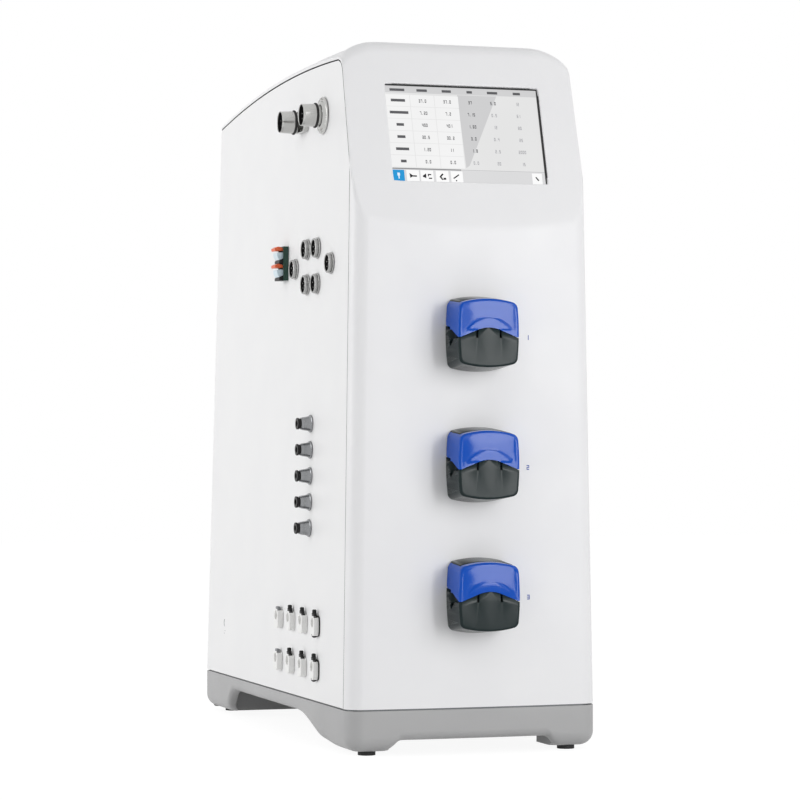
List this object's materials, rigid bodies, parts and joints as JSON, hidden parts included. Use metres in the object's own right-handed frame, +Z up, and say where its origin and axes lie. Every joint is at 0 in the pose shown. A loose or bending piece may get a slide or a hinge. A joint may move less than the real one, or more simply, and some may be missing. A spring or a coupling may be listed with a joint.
{
  "type": "bench bioreactor control station",
  "caption": "Tall white bench housing on a grey footed base, with a leaning touch display, flip-top peristaltic pumps on the front, and probe, gas and water ports in its side.",
  "frame": {"origin": "middle of the whole part's footprint, on the bench that the feet stand on", "axes": "+Z up; -Y towards the user, who faces the display and the pumps; +X to the user's right, so that the ports are on the -X side"},
  "size_m": [0.2928, 0.647, 0.754],
  "materials": {
    "cover_plastic": "satin white moulding",
    "panel_paint": "satin white powder coat",
    "base_plastic": "satin grey moulding",
    "rubber_black": "matte",
    "steel_sheet": "plated sheet",
    "glass_screen": "glossy display face",
    "supply_case": "pressed case",
    "board_green": "solder mask",
    "block_clear": "machined block",
    "black_plastic": "moulded",
    "fitting_metal": "plated",
    "screw_steel": "plated",
    "header_green": "moulded",
    "plug_pale": "moulded",
    "button_orange": "moulded",
    "coupling_white": "moulded",
    "pump_dark": "satin moulding",
    "lid_blue": "glossy moulding",
    "track_grey": "moulded",
    "roller_metal": "ground",
    "motor_metal": "cast and turned"
  },
  "bodies": {
    "station": {"base_skirt": "base_plastic", "bayonet_connectors": "fitting_metal", "bulkhead": "steel_sheet", "connector_collars": "fitting_metal", "connector_inserts": "black_plastic", "connector_o_rings": "rubber_black", "control_board": "board_green", "display_gasket": "rubber_black", "fan_frame": "black_plastic", "floor_plate": "steel_sheet", "foot_pads": "rubber_black", "front_cover": "cover_plastic", "gas_fittings": "fitting_metal", "left_panel": "panel_paint", "panel_screws": "screw_steel", "port_manifolds": "block_clear", "power_inlet": "black_plastic", "power_supply": "supply_case", "pump_body_1": "pump_dark", "pump_body_2": "pump_dark", "pump_body_3": "pump_dark", "pump_motors": "motor_metal", "rear_data_sockets": "fitting_metal", "rear_gas_inlets": "fitting_metal", "rear_panel": "panel_paint", "right_panel": "panel_paint", "sensor_connectors": "fitting_metal", "terminal_header": "header_green", "terminal_plugs": "plug_pale", "touch_display": "glass_screen", "water_couplings": "coupling_white"},
    "fan": {"fan_rotor": "black_plastic"},
    "switch_rocker": {"power_switch": "black_plastic"},
    "terminal_button_1": {"terminal_button_1": "button_orange"},
    "terminal_button_2": {"terminal_button_2": "button_orange"},
    "gas_collet_1": {"gas_collet_1": "black_plastic"},
    "gas_collet_2": {"gas_collet_2": "black_plastic"},
    "gas_collet_3": {"gas_collet_3": "black_plastic"},
    "gas_collet_4": {"gas_collet_4": "black_plastic"},
    "gas_collet_5": {"gas_collet_5": "black_plastic"},
    "coupling_latch_1": {"coupling_latch_1": "black_plastic"},
    "coupling_latch_2": {"coupling_latch_2": "black_plastic"},
    "coupling_latch_3": {"coupling_latch_3": "black_plastic"},
    "coupling_latch_4": {"coupling_latch_4": "black_plastic"},
    "coupling_latch_5": {"coupling_latch_5": "black_plastic"},
    "coupling_latch_6": {"coupling_latch_6": "black_plastic"},
    "coupling_latch_7": {"coupling_latch_7": "black_plastic"},
    "coupling_latch_8": {"coupling_latch_8": "black_plastic"},
    "pump_lid_1": {"pump_lid_1": "lid_blue"},
    "pump_track_1": {"pump_track_1": "track_grey"},
    "pump_rotor_1": {"pump_rotor_1": "track_grey", "pump_rollers_1": "roller_metal"},
    "pump_lid_2": {"pump_lid_2": "lid_blue"},
    "pump_track_2": {"pump_track_2": "track_grey"},
    "pump_rotor_2": {"pump_rotor_2": "track_grey", "pump_rollers_2": "roller_metal"},
    "pump_lid_3": {"pump_lid_3": "lid_blue"},
    "pump_track_3": {"pump_track_3": "track_grey"},
    "pump_rotor_3": {"pump_rotor_3": "track_grey", "pump_rollers_3": "roller_metal"}
  },
  "joints": [
    {"name": "fan_spin", "type": "hinge", "parent": "station", "child": "fan", "pos_m": [0.00787, 0.27877, 0.54433], "axis": [0, 0.999, 0.045], "continuous": true},
    {"name": "switch_rock", "type": "hinge", "parent": "station", "child": "switch_rocker", "pos_m": [0.01987, 0.31025, 0.11187], "axis": [1, 0, 0], "range_deg": [-16, 0]},
    {"name": "terminal_button_1_press", "type": "slide", "parent": "station", "child": "terminal_button_1", "axis": [0, 0, -1], "range_m": [0, 0.0015], "stiffness_N_per_m": 200, "springref_m": -0.0005},
    {"name": "terminal_button_2_press", "type": "slide", "parent": "station", "child": "terminal_button_2", "axis": [0, 0, -1], "range_m": [0, 0.0015], "stiffness_N_per_m": 200, "springref_m": -0.0005},
    {"name": "gas_collet_1_press", "type": "slide", "parent": "station", "child": "gas_collet_1", "axis": [1, 0, 0], "range_m": [0, 0.0015], "stiffness_N_per_m": 300, "springref_m": -0.0005},
    {"name": "gas_collet_2_press", "type": "slide", "parent": "station", "child": "gas_collet_2", "axis": [1, 0, 0], "range_m": [0, 0.0015], "stiffness_N_per_m": 300, "springref_m": -0.0005},
    {"name": "gas_collet_3_press", "type": "slide", "parent": "station", "child": "gas_collet_3", "axis": [1, 0, 0], "range_m": [0, 0.0015], "stiffness_N_per_m": 300, "springref_m": -0.0005},
    {"name": "gas_collet_4_press", "type": "slide", "parent": "station", "child": "gas_collet_4", "axis": [1, 0, 0], "range_m": [0, 0.0015], "stiffness_N_per_m": 300, "springref_m": -0.0005},
    {"name": "gas_collet_5_press", "type": "slide", "parent": "station", "child": "gas_collet_5", "axis": [1, 0, 0], "range_m": [0, 0.0015], "stiffness_N_per_m": 300, "springref_m": -0.0005},
    {"name": "coupling_latch_1_press", "type": "slide", "parent": "station", "child": "coupling_latch_1", "axis": [0, 0, -1], "range_m": [0, 0.0018], "stiffness_N_per_m": 300, "springref_m": -0.0005},
    {"name": "coupling_latch_2_press", "type": "slide", "parent": "station", "child": "coupling_latch_2", "axis": [0, 0, -1], "range_m": [0, 0.0018], "stiffness_N_per_m": 300, "springref_m": -0.0005},
    {"name": "coupling_latch_3_press", "type": "slide", "parent": "station", "child": "coupling_latch_3", "axis": [0, 0, -1], "range_m": [0, 0.0018], "stiffness_N_per_m": 300, "springref_m": -0.0005},
    {"name": "coupling_latch_4_press", "type": "slide", "parent": "station", "child": "coupling_latch_4", "axis": [0, 0, -1], "range_m": [0, 0.0018], "stiffness_N_per_m": 300, "springref_m": -0.0005},
    {"name": "coupling_latch_5_press", "type": "slide", "parent": "station", "child": "coupling_latch_5", "axis": [0, 0, -1], "range_m": [0, 0.0018], "stiffness_N_per_m": 300, "springref_m": -0.0005},
    {"name": "coupling_latch_6_press", "type": "slide", "parent": "station", "child": "coupling_latch_6", "axis": [0, 0, -1], "range_m": [0, 0.0018], "stiffness_N_per_m": 300, "springref_m": -0.0005},
    {"name": "coupling_latch_7_press", "type": "slide", "parent": "station", "child": "coupling_latch_7", "axis": [0, 0, -1], "range_m": [0, 0.0018], "stiffness_N_per_m": 300, "springref_m": -0.0005},
    {"name": "coupling_latch_8_press", "type": "slide", "parent": "station", "child": "coupling_latch_8", "axis": [0, 0, -1], "range_m": [0, 0.0018], "stiffness_N_per_m": 300, "springref_m": -0.0005},
    {"name": "pump_lid_1_open", "type": "hinge", "parent": "station", "child": "pump_lid_1", "pos_m": [0.00937, -0.29093, 0.466], "axis": [-1, 0, 0], "range_deg": [0, 90]},
    {"name": "pump_track_1_lift", "type": "slide", "parent": "station", "child": "pump_track_1", "axis": [0, 0, 1], "range_m": [0, 0.005]},
    {"name": "pump_rotor_1_spin", "type": "hinge", "parent": "station", "child": "pump_rotor_1", "pos_m": [0.00937, -0.29993, 0.4335], "axis": [0, 1, 0], "continuous": true},
    {"name": "pump_lid_2_open", "type": "hinge", "parent": "station", "child": "pump_lid_2", "pos_m": [0.00937, -0.2923, 0.329], "axis": [-1, 0, 0], "range_deg": [0, 90]},
    {"name": "pump_track_2_lift", "type": "slide", "parent": "station", "child": "pump_track_2", "axis": [0, 0, 1], "range_m": [0, 0.005]},
    {"name": "pump_rotor_2_spin", "type": "hinge", "parent": "station", "child": "pump_rotor_2", "pos_m": [0.00937, -0.3013, 0.2965], "axis": [0, 1, 0], "continuous": true},
    {"name": "pump_lid_3_open", "type": "hinge", "parent": "station", "child": "pump_lid_3", "pos_m": [0.00937, -0.29367, 0.1925], "axis": [-1, 0, 0], "range_deg": [0, 90]},
    {"name": "pump_track_3_lift", "type": "slide", "parent": "station", "child": "pump_track_3", "axis": [0, 0, 1], "range_m": [0, 0.005]},
    {"name": "pump_rotor_3_spin", "type": "hinge", "parent": "station", "child": "pump_rotor_3", "pos_m": [0.00937, -0.30267, 0.16], "axis": [0, 1, 0], "continuous": true}
  ],
  "couplings": [
    {"joint": "pump_track_1_lift", "follows": "pump_lid_1_open", "m_per_rad": 0.0031828},
    {"joint": "pump_track_2_lift", "follows": "pump_lid_2_open", "m_per_rad": 0.0031828},
    {"joint": "pump_track_3_lift", "follows": "pump_lid_3_open", "m_per_rad": 0.0031828}
  ]
}
